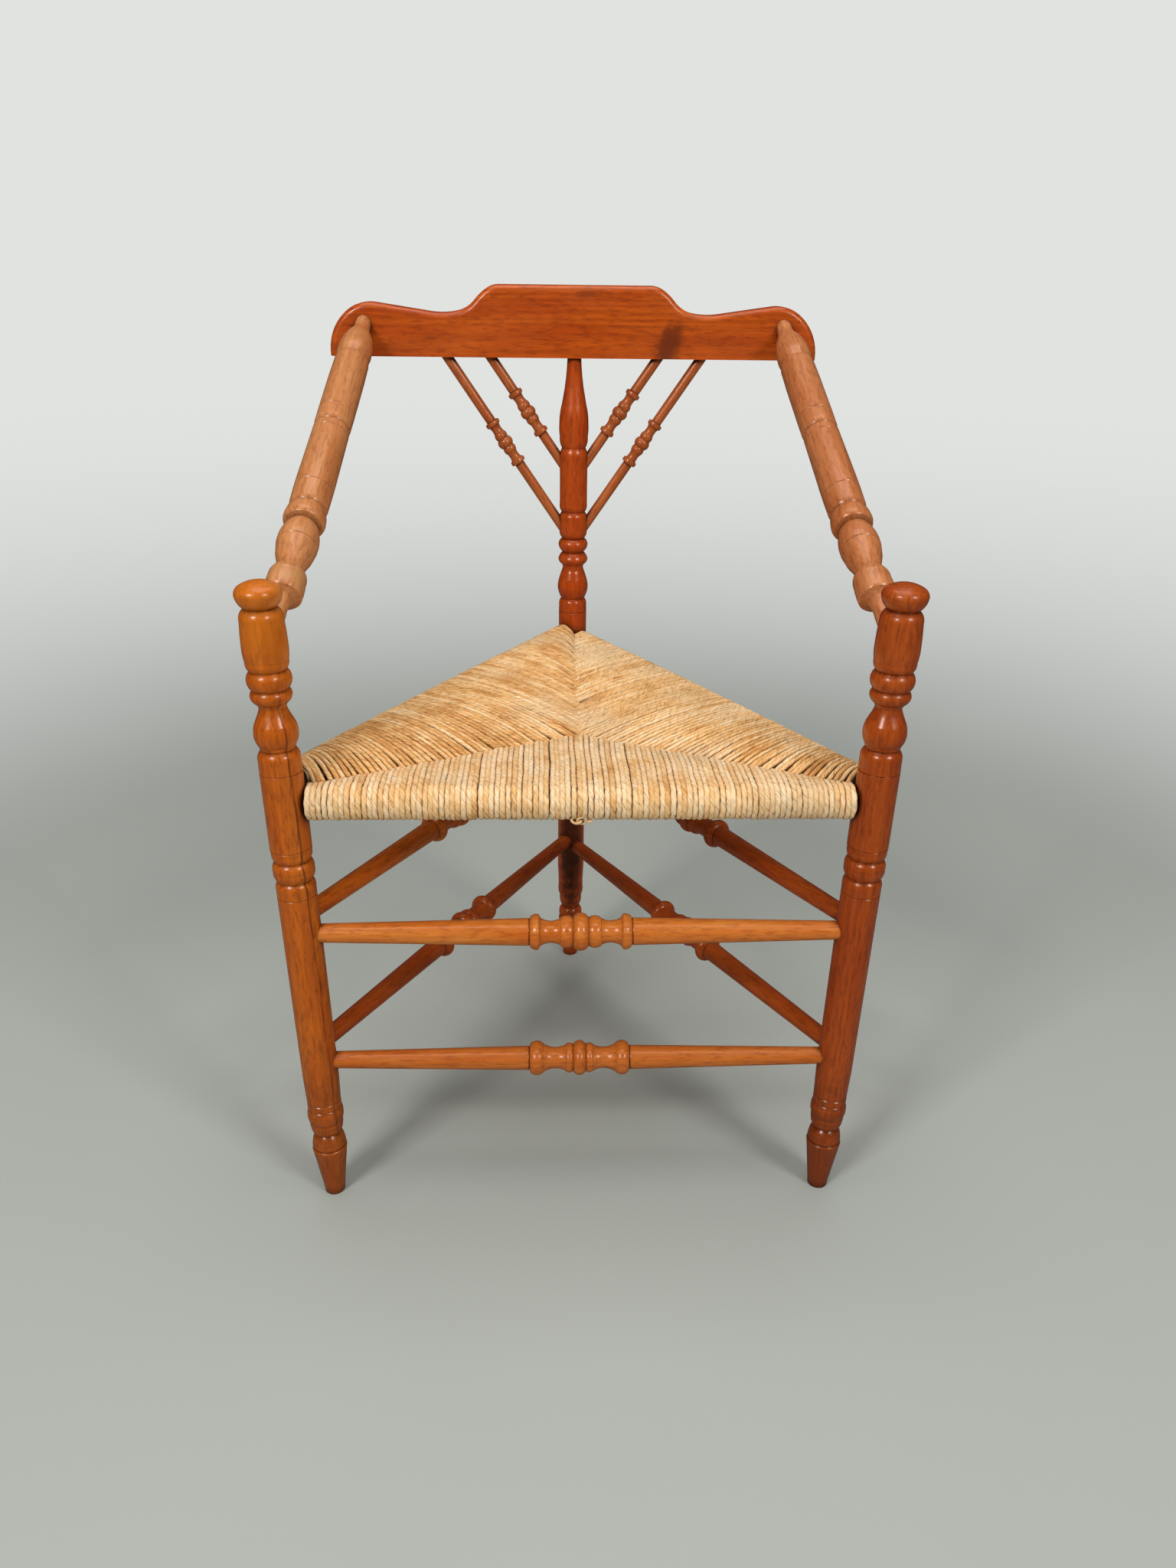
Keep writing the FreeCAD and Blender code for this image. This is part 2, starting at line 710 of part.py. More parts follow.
crest_tools = [
    drill(
        "crest_rail_post_hole",
        back_axis(crest_height - 1),
        V(0, 0, 1),
        "Sizes.back_leg_tenon_top_width",
        size("back_leg_tenon_top_up") + size("end_gap") + 1,
    )
]
for side, word in ((left, "left"), (right, "right")):
    joint = arm_joint(side)
    away = toward(front_axis(side, arm_height), joint)
    neck_depth = -size("arm_crest_end_up")
    start = joint - away * size("arm_crest_end_width")
    crest_tools.append(
        drill(
            f"crest_rail_{word}_arm_housing",
            start,
            away,
            "Sizes.arm_crest_end_width",
            size("arm_crest_end_width") + neck_depth + size("glue_gap"),
        )
    )
    crest_tools.append(
        drill(
            f"crest_rail_{word}_arm_hole",
            start,
            away,
            "Sizes.arm_crest_tenon_width",
            size("arm_crest_end_width") + size("arm_tenon_length") + size("end_gap"),
        )
    )
    for rank in ("outer", "inner"):
        top = spindle_joint(side, rank)
        up = toward(spindle_aim(rank), top)
        run_in = size("spindle_width")
        crest_tools.append(
            drill(
                f"crest_rail_{word}_{rank}_spindle",
                top - up * run_in,
                up,
                "Sizes.spindle_width",
                run_in + size("spindle_tenon_length") + size("end_gap"),
            )
        )
keep("crest_rail", cut_out("crest_rail", crest_body, crest_tools))


# Arms and spindles, each turned about the line from the crest down to its leg

arm_datums = {
    "end": "0",
    "crest": "Sizes.arm_tenon_length",
    "leg": "Sizes.arm_tenon_length + Lengths.arm_reach",
}


def spindle_corners(rank):
    crest = "Sizes.spindle_tenon_length"
    across = "Sizes.spindle_width / 2"
    tip = f"{crest} + Lengths.{rank}_spindle_reach - Sizes.spindle_tip"
    middle = middle_corners("spindle", f"{crest} + Sizes.{rank}_spindle_ball")
    return [("top", across, "0", None)] + middle + [("tip", across, tip, None)]


for side, word in ((left, "left"), (right, "right")):
    joint = arm_joint(side)
    down = toward(joint, front_axis(side, arm_height))
    placement = aimed(joint - down * size("arm_tenon_length"), down)
    keep(f"{word}_arm", turned(f"{word}_arm", corners_of("arm", arm, arm_datums), placement))
    for rank in ("outer", "inner"):
        top = spindle_joint(side, rank)
        down = toward(top, spindle_aim(rank))
        name = f"{word}_{rank}_spindle"
        placement = aimed(top - down * size("spindle_tenon_length"), down)
        keep(name, turned(name, spindle_corners(rank), placement))


# Stretchers and seat rails, each turned about the line between two legs' axes

def stretcher_corners(kind, span):
    tenon = "Sizes.stretcher_tenon_width / 2"
    full = f"Sizes.{kind}_end_width / 2"
    start = [
        ("tip_start", tenon, "Lengths.stretcher_tip", None),
        ("tenon_start", tenon, "Lengths.shoulder_reach", None),
        ("shoulder_start", full, "Lengths.shoulder_reach", None),
    ]
    finish = [
        ("shoulder_end", full, f"{span} - Lengths.shoulder_reach", None),
        ("tenon_end", tenon, f"{span} - Lengths.shoulder_reach", None),
        ("tip_end", tenon, f"{span} - Lengths.stretcher_tip", None),
    ]
    return start + middle_corners(kind, f"{span} / 2") + finish


def rail_corners(span):
    tenon = "Sizes.rail_tenon_width / 2"
    full = "Sizes.rail_width / 2"
    return [
        ("tip_start", tenon, "Lengths.rail_tip", None),
        ("tenon_start", tenon, "Lengths.rail_shoulder", None),
        ("shoulder_start", full, "Lengths.rail_shoulder", None),
        ("shoulder_end", full, f"{span} - Lengths.rail_shoulder", None),
        ("tenon_end", tenon, f"{span} - Lengths.rail_shoulder", None),
        ("tip_end", tenon, f"{span} - Lengths.rail_tip", None),
    ]


for tier, runs in (("upper", upper_runs), ("lower", lower_runs)):
    for place, (start, end) in runs.items():
        name = f"{place}_{tier}_stretcher"
        kind = f"{tier}_stretcher" if place == "front" else "side_stretcher"
        corners = stretcher_corners(kind, f"Lengths.{place}_{tier}_span")
        keep(name, turned(name, corners, aimed(start, toward(start, end))))

for place, (start, end) in rail_runs.items():
    name = f"{place}_seat_rail"
    corners = rail_corners(f"Lengths.{place}_rail_span")
    keep(name, turned(name, corners, aimed(start, toward(start, end))))


# Rush seat: a roll round each rail and, between the rails, three panels that fall to the
# point where the seams meet. The stuffing lies between its upper and lower layers.

def web(share, layer):
    # A flat-sided pad whose upper and lower faces each fall to the seams' meeting point
    roll = size("roll_width") / 2
    heights = {place: run[0].z for place, run in rail_runs.items()}
    seam_top = heights["front"] + roll - size("seam_sag")
    middle = V(0, front_y + size("seam_point"), 0)
    beside = (
        (front_axis(left, size("seat_height")), "front", "left"),
        (front_axis(right, size("seat_height")), "front", "right"),
        (back_axis(size("seat_height")), "left", "right"),
    )
    above = middle + V(0, 0, seam_top - layer)
    below = middle + V(0, 0, seam_top - size("seam_thickness") + layer)
    tops = []
    bottoms = []
    for axis_point, one, other in beside:
        flat = V(axis_point.x, axis_point.y, 0)
        top = min(heights[one], heights[other]) + roll
        bottom = max(heights[one], heights[other]) - roll
        tops.append(above + (flat + V(0, 0, top - layer) - above) * share)
        bottoms.append(below + (flat + V(0, 0, bottom + layer) - below) * share)
    faces = []
    for one, other in ((0, 1), (1, 2), (2, 0)):
        faces.append([tops[one], tops[other], above])
        faces.append([bottoms[one], bottoms[other], below])
        faces.append([tops[one], tops[other], bottoms[other], bottoms[one]])
    shell = Part.Shell([Part.Face(Part.makePolygon(face + face[:1])) for face in faces])
    return Part.Solid(shell)


def plain_feature(name, shape):
    feature = doc.addObject("Part::Feature", name)
    if shape.Volume < 0:
        shape.reverse()
    feature.Shape = shape
    feature.Placement = FreeCAD.Placement()
    return feature


def round_bar(name, run, radius):
    start, end = run
    bar = doc.addObject("Part::Cylinder", name)
    bar.setExpression("Radius", radius)
    bar.Height = (end - start).Length
    bar.Placement = aimed(start, toward(start, end))
    return bar


rolls = [round_bar(f"{place}_roll", run, "Sizes.roll_width / 2") for place, run in rail_runs.items()]
rush = doc.addObject("Part::MultiFuse", "rush_seat_solid")
rush.Shapes = [plain_feature("rush_web", web(1, 0))] + rolls

seat_tools = [
    round_bar(f"{place}_rail_bore", run, "Sizes.rail_width / 2 + Sizes.rush_gap")
    for place, run in rail_runs.items()
]
seat_zone = {
    "front_left": (front_axis(left, 0), front_axis(left, arm_height), "front_leg_rail_line"),
    "front_right": (front_axis(right, 0), front_axis(right, arm_height), "front_leg_rail_line"),
    "back": (back_axis(0), back_axis(crest_height), "back_leg_leg"),
}
for name, (start, end, feature) in seat_zone.items():
    seat_tools.append(round_bar(f"{name}_notch", (start, end), f"Sizes.{feature}_width / 2 + Sizes.rush_gap"))
hollow_share = size("stuffing_share") + size("stuffing_ease")
hollow_layer = size("rush_layer") - size("rush_gap")
seat_tools.append(plain_feature("stuffing_hollow", web(hollow_share, hollow_layer)))
keep("rush_seat", cut_out("rush_seat", rush, seat_tools))
keep("rush_stuffing", plain_feature("rush_stuffing", web(size("stuffing_share"), size("rush_layer"))))


# Checks, then one file for each piece

doc.recompute()
faults = [item.Name for item in doc.Objects if "Invalid" in item.State or "Error" in item.State]
for name, piece in pieces.items():
    shape = piece.Shape
    if shape.isNull() or not shape.isValid() or len(shape.Solids) != 1:
        faults.append(name)
if faults:
    raise RuntimeError("these objects are not sound: " + ", ".join(faults))

os.makedirs("parts", exist_ok=True)
for name, piece in pieces.items():
    piece.Shape.exportStep(f"parts/{name}.step")
box = FreeCAD.BoundBox()
for piece in pieces.values():
    box.add(piece.Shape.optimalBoundingBox())
print(f"{len(pieces)} pieces, {box.XLength:.2f} x {box.YLength:.2f} x {box.ZLength:.2f} mm")
print(f"middle of the box at {box.Center.x:.3f}, {box.Center.y:.3f}, lowest point {box.ZMin:.3f}")
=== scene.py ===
import math
import random

import bmesh
import bpy
import numpy as np
from mathutils import Matrix, Vector, noise


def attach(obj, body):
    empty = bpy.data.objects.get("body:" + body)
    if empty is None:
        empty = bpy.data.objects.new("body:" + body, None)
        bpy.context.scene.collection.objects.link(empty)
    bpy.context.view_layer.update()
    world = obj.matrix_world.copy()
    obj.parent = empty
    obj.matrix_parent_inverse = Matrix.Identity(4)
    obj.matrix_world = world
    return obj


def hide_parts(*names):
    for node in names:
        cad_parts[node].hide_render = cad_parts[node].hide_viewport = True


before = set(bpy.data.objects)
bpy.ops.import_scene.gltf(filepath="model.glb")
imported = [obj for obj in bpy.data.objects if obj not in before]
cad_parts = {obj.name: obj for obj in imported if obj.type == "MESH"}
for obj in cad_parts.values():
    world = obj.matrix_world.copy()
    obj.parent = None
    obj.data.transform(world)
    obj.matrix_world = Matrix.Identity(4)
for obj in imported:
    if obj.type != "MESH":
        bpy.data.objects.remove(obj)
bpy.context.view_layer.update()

# Corner chair around its CAD frame: varnished turned wood and a woven rush seat.
# Metres, floor at z = 0, the chair faces -y.

scene = bpy.context.scene
print("frame loaded:", len(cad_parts), "nodes")

# Where the chair's lines run, as in the CAD source
chair = {
    "footSpread": 0.242,       # front leg's axis from the middle, on the floor
    "splay": 0.02723,          # how far it leans out for each metre up
    "frontY": -0.217625,
    "backY": 0.219375,
    "crestFaceY": 0.207375,
    "crestUnder": 0.751,
    "crestMiddle": 0.787,
    "crestHalf": 0.26,         # half the crest's length
    "frontTop": 0.62,          # where the legs end
    "backTop": 0.77,
    "spindles": {"outer": (0.1372, 0.5502), "inner": (0.0904, 0.6208)},  # out at the crest, height aimed at
    "armTop": (0.2235, 0.783),  # where the arm's axis meets the crest: out, up
    "armFoot": 0.559,          # and its height on the front leg
    "railHeights": {"front": 0.425, "right": 0.433, "left": 0.441},
    "upperHeights": {"front": 0.295, "right": 0.303, "left": 0.311},
    "lowerHeights": {"front": 0.156, "right": 0.164, "left": 0.172},
}


def frontAxis(side, height):
    return Vector((side * (chair["footSpread"] + height * chair["splay"]), chair["frontY"], height))


def backAxis(height):
    return Vector((0, chair["backY"], height))


def tierLine(place, height):
    if place == "front":
        return frontAxis(-1, height), frontAxis(1, height)
    return frontAxis(-1 if place == "left" else 1, height), backAxis(height)


def pieceLines():
    # Each wooden piece's grain runs from the first point to the second
    reach, middle = chair["crestHalf"], chair["crestMiddle"]
    lines = {
        "front_left_leg": (frontAxis(-1, 0), frontAxis(-1, chair["frontTop"])),
        "front_right_leg": (frontAxis(1, 0), frontAxis(1, chair["frontTop"])),
        "back_leg": (backAxis(0), backAxis(chair["backTop"])),
        "crest_rail": (Vector((-reach, chair["backY"], middle)), Vector((reach, chair["backY"], middle))),
    }
    for side, word in ((-1, "left"), (1, "right")):
        out, up = chair["armTop"]
        armStart = Vector((side * out, chair["crestFaceY"], up))
        lines[f"{word}_arm"] = (armStart, frontAxis(side, chair["armFoot"]))
        for rank, (spread, aim) in chair["spindles"].items():
            top = Vector((side * spread, chair["backY"], chair["crestUnder"]))
            lines[f"{word}_{rank}_spindle"] = (top, backAxis(aim))
    for place in ("front", "left", "right"):
        lines[f"{place}_upper_stretcher"] = tierLine(place, chair["upperHeights"][place])
        lines[f"{place}_lower_stretcher"] = tierLine(place, chair["lowerHeights"][place])
        lines[f"{place}_seat_rail"] = tierLine(place, chair["railHeights"][place])
    return lines


# Node trees

def addNode(tree, kind, sockets=None, **settings):
    made = tree.nodes.new(kind)
    for name, value in settings.items():
        setattr(made, name, value)
    for socket, value in (sockets or {}).items():
        if isinstance(value, bpy.types.NodeSocket):
            tree.links.new(value, made.inputs[socket])
        else:
            made.inputs[socket].default_value = value
    return made


def rampOf(tree, factor, stops):
    ramp = addNode(tree, "ShaderNodeValToRGB", {"Fac": factor})
    elements = ramp.color_ramp.elements
    while len(elements) < len(stops):
        elements.new(0.5)
    for element, (place, colour) in zip(elements, stops):
        element.position = place
        element.color = (*colour, 1) if isinstance(colour, tuple) else (colour, colour, colour, 1)
    return ramp.outputs["Color"]


def mixColours(tree, factor, first, second, blend="MIX"):
    made = addNode(tree, "ShaderNodeMix", data_type="RGBA", blend_type=blend)
    for socket, value in ((0, factor), (6, first), (7, second)):
        if isinstance(value, bpy.types.NodeSocket):
            tree.links.new(value, made.inputs[socket])
        elif socket == 0:
            made.inputs[0].default_value = value
        else:
            made.inputs[socket].default_value = (*value, 1)
    return made.outputs[2]


def mathOf(tree, operation, *values):
    made = addNode(tree, "ShaderNodeMath", dict(enumerate(values)), operation=operation)
    return made.outputs[0]


def noiseOf(tree, vector, scale, detail=2.0, roughness=0.5, distortion=0.0):
    made = addNode(
        tree,
        "ShaderNodeTexNoise",
        {
            "Vector": vector,
            "Scale": scale,
            "Detail": detail,
            "Roughness": roughness,
            "Distortion": distortion,
        },
    )
    return made.outputs["Fac"]


def stretched(tree, vector, scale, shift=(0, 0, 0)):
    made = addNode(tree, "ShaderNodeMapping", {"Vector": vector, "Scale": scale, "Location": shift})
    return made.outputs["Vector"]


def rangeOf(tree, value, start, end, high=1.0, interpolation="LINEAR"):
    # Goes from nothing at start to high at end
    made = addNode(
        tree,
        "ShaderNodeMapRange",
        {"Value": value, "From Min": start, "From Max": end, "To Min": 0.0, "To Max": high},
        interpolation_type=interpolation,
    )
    return made.outputs["Result"]


def bumpOf(tree, strength, distance, height):
    made = addNode(tree, "ShaderNodeBump", {"Strength": strength, "Distance": distance, "Height": height})
    return made.outputs["Normal"]


def freshMaterial(name):
    made = bpy.data.materials.new(name)
    made.use_nodes = True
    made.node_tree.nodes.clear()
    return made, made.node_tree


def finishShader(tree, colour, roughness, normal, fixed):
    shader = addNode(
        tree,
        "ShaderNodeBsdfPrincipled",
        {"Base Color": colour, "Roughness": roughness, "Normal": normal},
    )
    for socket, value in fixed.items():
        shader.inputs[socket].default_value = value
    output = addNode(tree, "ShaderNodeOutputMaterial")
    tree.links.new(shader.outputs["BSDF"], output.inputs["Surface"])


# Varnished wood. Colours are linear; figure is how much the growth rings show.
woodLooks = {
    "leftLeg": {
        "base": (0.52, 0.094, 0.003), "pale": (0.62, 0.155, 0.010), "dark": (0.13, 0.02, 0.002),
        "rough": 0.30, "figure": 0.26,
    },
    "rightLeg": {
        "base": (0.35, 0.045, 0.003), "pale": (0.45, 0.082, 0.007), "dark": (0.10, 0.013, 0.002),
        "rough": 0.30, "figure": 0.20,
    },
    "backLeg": {
        "base": (0.44, 0.050, 0.003), "pale": (0.52, 0.082, 0.007), "dark": (0.12, 0.013, 0.002),
        "rough": 0.27, "figure": 0.12,
    },
    "crest": {
        "base": (0.44, 0.056, 0.002), "pale": (0.60, 0.108, 0.005), "dark": (0.16, 0.016, 0.002),
        "rough": 0.36, "figure": 0.32,
    },
    "arm": {
        "base": (0.46, 0.132, 0.034), "pale": (0.58, 0.22, 0.08), "dark": (0.20, 0.04, 0.009),
        "rough": 0.36, "figure": 0.16,
    },
    "leftArm": {
        "base": (0.51, 0.172, 0.046), "pale": (0.63, 0.27, 0.10), "dark": (0.22, 0.05, 0.011),
        "rough": 0.38, "figure": 0.16,
    },
    "spindle": {
        "base": (0.38, 0.075, 0.014), "pale": (0.50, 0.14, 0.036), "dark": (0.15, 0.026, 0.006),
        "rough": 0.30, "figure": 0.12,
    },
    "frontStretcher": {
        "base": (0.60, 0.145, 0.015), "pale": (0.72, 0.24, 0.04), "dark": (0.28, 0.045, 0.007),
        "rough": 0.30, "figure": 0.15,
    },
    "lowerStretcher": {
        "base": (0.50, 0.110, 0.011), "pale": (0.62, 0.185, 0.03), "dark": (0.22, 0.034, 0.005),
        "rough": 0.30, "figure": 0.15,
    },
    "sideStretcher": {
        "base": (0.38, 0.053, 0.004), "pale": (0.48, 0.090, 0.010), "dark": (0.12, 0.017, 0.002),
        "rough": 0.28, "figure": 0.15,
    },
    "paleStretcher": {
        "base": (0.60, 0.118, 0.006), "pale": (0.70, 0.175, 0.015), "dark": (0.16, 0.024, 0.003),
        "rough": 0.28, "figure": 0.15,
    },
    "rail": {
        "base": (0.42, 0.26, 0.13), "pale": (0.55, 0.38, 0.22), "dark": (0.24, 0.13, 0.06),
        "rough": 0.60, "figure": 0.20,
    },
}

lookOf = {
    "front_left_leg": "leftLeg",
    "front_right_leg": "rightLeg",
    "back_leg": "backLeg",
    "crest_rail": "crest",
    "left_arm": "leftArm",
    "right_arm": "arm",
    "front_lower_stretcher": "lowerStretcher",
    "left_upper_stretcher": "paleStretcher",
}

# Dark cracks along a turned piece: angle round it, slant, heights, half width and strength
cracks = {
    "front_left_leg": (
        {"angle": 0.9, "slant": -0.5, "low": 0.07, "high": 0.535, "half": 0.085, "depth": 0.85},
    ),
    "front_right_leg": (
        {"angle": 2.2, "slant": 0.5, "low": 0.33, "high": 0.46, "half": 0.05, "depth": 0.35},
    ),
}

# Darker and paler places on the wood, and painted shade low on the front legs and on the back leg's front
# under the seat: middle, half sizes, lean in degrees, colour and strength
marks = {
    "crest_rail": (
        {
            "at": (0.101, 0.207, 0.765), "half": (0.018, 0.03, 0.038), "lean": 22,
            "tint": (0.12, 0.018, 0.004), "depth": 0.85,
        },
        {
            "at": (0.012, 0.207, 0.815), "half": (0.020, 0.03, 0.006), "lean": 0,
            "tint": (0.20, 0.028, 0.004), "depth": 0.6,
        },
        {
            "at": (-0.175, 0.207, 0.764), "half": (0.075, 0.03, 0.016), "lean": -6,
            "tint": (0.24, 0.032, 0.004), "depth": 0.28,
        },
        {
            "at": (0.175, 0.207, 0.766), "half": (0.060, 0.03, 0.016), "lean": 6,
            "tint": (0.26, 0.034, 0.004), "depth": 0.22,
        },
    ),
    "front_left_leg": (
        {
            "at": (-0.246, -0.205, 0.606), "half": (0.020, 0.032, 0.018), "lean": 0,
            "tint": (0.52, 0.29, 0.13), "depth": 0.8,
        },
        # painted shade: the leg darker towards the floor
        {
            "at": (-0.242, -0.2176, 0.0), "half": (0.05, 0.05, 0.27), "lean": 0,
            "tint": (0.18, 0.036, 0.006), "depth": 0.55,
        },
        {
            "at": (-0.257, -0.2176, 0.59), "half": (0.05, 0.05, 0.07), "lean": 0,
            "tint": (0.60, 0.165, 0.010), "depth": 0.5,
        },
    ),
    "front_right_leg": (
        # painted shade: the leg darker towards the floor
        {
            "at": (0.242, -0.2176, 0.0), "half": (0.05, 0.05, 0.20), "lean": 0,
            "tint": (0.13, 0.024, 0.005), "depth": 0.6,
        },
    ),
    "left_arm": (
        {
            "at": (-0.250, -0.150, 0.598), "half": (0.026, 0.020, 0.022), "lean": 0,
            "tint": (0.47, 0.235, 0.085), "depth": 0.8,
        },
    ),
    "back_leg": (
        # painted shade on the leg's front under the seat, near black there
        {
            "at": (0.0, 0.196, 0.20), "half": (0.05, 0.025, 0.27), "lean": 0,
            "tint": (0.030, 0.007, 0.002), "depth": 0.9,
        },
    ),
}


def addCrack(tree, local, colour, crack, dark):
    parts = addNode(tree, "ShaderNodeSeparateXYZ", {"Vector": local}).outputs
    angle = mathOf(tree, "ARCTAN2", parts["Y"], parts["X"])
    drift = noiseOf(tree, stretched(tree, local, (0, 0, 1)), 14, 2)
    wander = mathOf(tree, "MULTIPLY_ADD", drift, 0.5, crack["angle"] - 0.25)
    slope = mathOf(tree, "MULTIPLY_ADD", parts["Z"], crack["slant"], wander)
    away = mathOf(tree, "ABSOLUTE", mathOf(tree, "SUBTRACT", angle, slope))
    line = rangeOf(tree, away, crack["half"], crack["half"] * 0.2, crack["depth"], "SMOOTHSTEP")
    for edge, soft in ((crack["low"], 0.015), (crack["high"], -0.015)):
        line = mathOf(tree, "MULTIPLY", line, rangeOf(tree, parts["Z"], edge, edge + soft))
    breaks = noiseOf(tree, stretched(tree, local, (1, 1, 0.6)), 60, 2)
    broken = rampOf(tree, breaks, ((0.35, 0.35), (0.6, 1.0)))
    return mixColours(tree, mathOf(tree, "MULTIPLY", line, broken), colour, dark)


def addMark(tree, place, colour, mark):
    inside = addNode(
        tree,
        "ShaderNodeMapping",
        {
            "Vector": place,
            "Location": mark["at"],
            "Rotation": (0, math.radians(mark["lean"]), 0),
            "Scale": mark["half"],
        },
        vector_type="TEXTURE",
    ).outputs["Vector"]
    away = addNode(tree, "ShaderNodeVectorMath", {0: inside}, operation="LENGTH").outputs["Value"]
    ragged = mathOf(tree, "MULTIPLY_ADD", noiseOf(tree, place, 110, 3, 0.6), 0.8, away)
    cover = rangeOf(tree, ragged, 1.35, 0.7, mark["depth"], "SMOOTHSTEP")
    return mixColours(tree, cover, colour, mark["tint"])


# The figure of the wood, shared by every look: scales of its parts and how strongly they show
figure = {
    "fine": 520,
    "broad": 75,
    "patch": 22,
    "fleck": 330,
    "pore": 900,
    "rings": 62.0,
    "fibre": 0.30,
    "grimeAndShade": 0.22,             # old dirt and painted shade in the grooves, as a share of the look's dark colour
    "grimeAndShadeReach": 0.011,
    "relief": (0.12, 0.0004),
}

varnish = {
    "Specular IOR Level": 0.42,
    "Specular Tint": (1.0, 0.70, 0.50, 1.0),
    "Coat Weight": 0.26,
    "Coat Roughness": 0.13,
}


def woodFinish(name, line, look, seed):
    start, end = line
    turn = (end - start).to_track_quat("Z", "Y").to_euler()
    material, tree = freshMaterial(f"{name}_wood")
    place = addNode(tree, "ShaderNodeTexCoord").outputs["Object"]
    local = addNode(
        tree,
        "ShaderNodeMapping",
        {"Vector": place, "Location": start, "Rotation": turn},
        vector_type="TEXTURE",
    ).outputs["Vector"]
    shift = Vector((seed * 0.37 % 1, seed * 0.71 % 1, seed * 0.53 % 1))
    fine = noiseOf(tree, stretched(tree, local, (1, 1, 0.05), shift), figure["fine"], 3, 0.6)
    broad = noiseOf(tree, stretched(tree, local, (1, 1, 0.09), shift), figure["broad"], 3, 0.55, 0.3)
    patch = noiseOf(tree, stretched(tree, local, (1, 1, 0.35), shift), figure["patch"], 2, 0.5)
    fleck = noiseOf(tree, stretched(tree, local, (1, 1, 0.22), shift), figure["fleck"], 3, 0.65)
    pore = noiseOf(tree, stretched(tree, local, (1, 1, 0.03), shift), figure["pore"], 2, 0.6)
    rings = addNode(
        tree,
        "ShaderNodeTexWave",
        {
            "Vector": stretched(tree, local, (1, 1, 0.08), (0.031, 0.017, 0)),
            "Scale": figure["rings"],
            "Distortion": 5.0,
            "Detail": 2.0,
            "Detail Scale": 0.9,
        },
        wave_type="RINGS",
        rings_direction="Z",
    ).outputs["Fac"]
    grain = rampOf(tree, fine, ((0.32, 0.0), (0.68, 1.0)))
    fibre = mathOf(tree, "MULTIPLY", mathOf(tree, "SUBTRACT", 1.0, grain), figure["fibre"])
    colour = mixColours(tree, rampOf(tree, broad, ((0.36, 0.0), (0.72, 1.0))), look["base"], look["pale"])
    colour = mixColours(tree, mathOf(tree, "MULTIPLY", rings, look["figure"]), colour, look["dark"])
    colour = mixColours(tree, fibre, colour, look["dark"])
    colour = mixColours(tree, rampOf(tree, patch, ((0.3, 0.0), (0.75, 0.35))), colour, look["pale"])
    colour = mixColours(tree, rampOf(tree, fleck, ((0.36, 0.42), (0.50, 0.0))), colour, look["dark"])
    colour = mixColours(tree, rampOf(tree, pore, ((0.22, 0.5), (0.36, 0.0))), colour, look["dark"])
    for crack in cracks.get(name, ()):
        colour = addCrack(tree, local, colour, crack, look["dark"])
    for mark in marks.get(name, ()):
        colour = addMark(tree, place, colour, mark)
    # Old varnish and dirt darken the grooves, and painted shade, masked by ambient occlusion, darkens them
    # and the joints between parts
    grimeAndShade = tuple(channel * figure["grimeAndShade"] for channel in look["dark"])
    openness = addNode(tree, "ShaderNodeAmbientOcclusion", {"Distance": figure["grimeAndShadeReach"]}, samples=6)
    clear = openness.outputs["AO"]
    colour = mixColours(tree, rampOf(tree, clear, ((0.35, 0.95), (0.90, 0.0))), colour, grimeAndShade)
    gloss = rampOf(tree, patch, ((0.3, look["rough"] - 0.05), (0.7, look["rough"] + 0.1)))
    relief = mathOf(tree, "ADD", grain, mathOf(tree, "MULTIPLY", patch, 3.0))
    finishShader(tree, colour, gloss, bumpOf(tree, *figure["relief"], relief), varnish)
    return material


def lookFor(name):
    if name in lookOf:
        return lookOf[name]
    if "spindle" in name:
        return "spindle"
    if "seat_rail" in name:
        return "rail"
    return "frontStretcher" if name.startswith("front") else "sideStretcher"


for seed, (name, line) in enumerate(sorted(pieceLines().items()), 1):
    finish = woodFinish(name, line, woodLooks[lookFor(name)], seed)
    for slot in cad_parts[name].material_slots:
        slot.material = finish
print("wood finished:", len(pieceLines()), "pieces")


# Woven rush: cords wound over the three rails, each dipping under at the seams
rush = {
    "pitch": 0.0047,           # between neighbouring cords on a rail
    "half": 0.00236,           # half a cord's thickness
    "thickness": (0.94, 1.07),  # thinnest and thickest cord, as a share of that
    "jitter": 0.10,            # how far a cord strays from its place, as a share of the pitch
    "squash": {"front": 1.14, "right": 0.93, "left": 0.93},  # how much wider than thick cords are pressed
    "rollRadius": 0.016,       # outside of the rush wound on a rail
    "rollCrown": 0.0012,       # how much fuller the side rolls are at mid length
    "seamBack": 0.136,         # where the seams meet, behind the front rail
    "seamHeight": 0.4336,
    "seamUnder": 0.4055,
    "seamCurve": 1.8,          # how late a seam falls towards that point
    "cornerDip": 0.0042,       # of the front seams below the roll, at the legs
    "backDip": 0.004,
    "underRise": {"front": 0.003, "back": 0.004},  # of the seams' lower ends above the roll's underside
    "overlap": {"front": -0.0004, "right": 0.0012, "left": 0.0012},  # of the cords past the seam
    "tailTop": ((0.0012, -0.0085), (0.0012, -0.0045), (0.0004, -0.0014)),  # dip past the seam: on, down
    "tailUnder": ((0.0010, 0.0035), (0.0012, 0.0075)),
    "gather": 0.03,            # how far from the seam neighbouring cords begin to lean together
    "groupSizes": (1, 2, 2, 3, 3, 4),
    "groupPulls": (0.08, 0.20, 0.34, 0.46),
    "fall": 2.3,               # how late a panel falls towards its seam
    "wander": 0.0012,          # how far neighbouring cords drift together
    "legRoom": {"front": 0.0189, "back": 0.0180},
    "step": 0.003,
    "sides": 10,
    "twist": 0.021,            # one turn of a cord's strands
    "strands": 0.09,           # how far the two strands stand out, as a share of the thickness
    "swell": 0.05,             # how far the thickness varies along a cord
    "aside": 0.00025,          # how far a whole cord lies to one side
    "bob": 0.0003,             # and how far up or down
    "warmth": {"front": -0.30, "right": 0.45, "left": 0.80},  # how golden each panel's straw is
    "seed": 41,
}

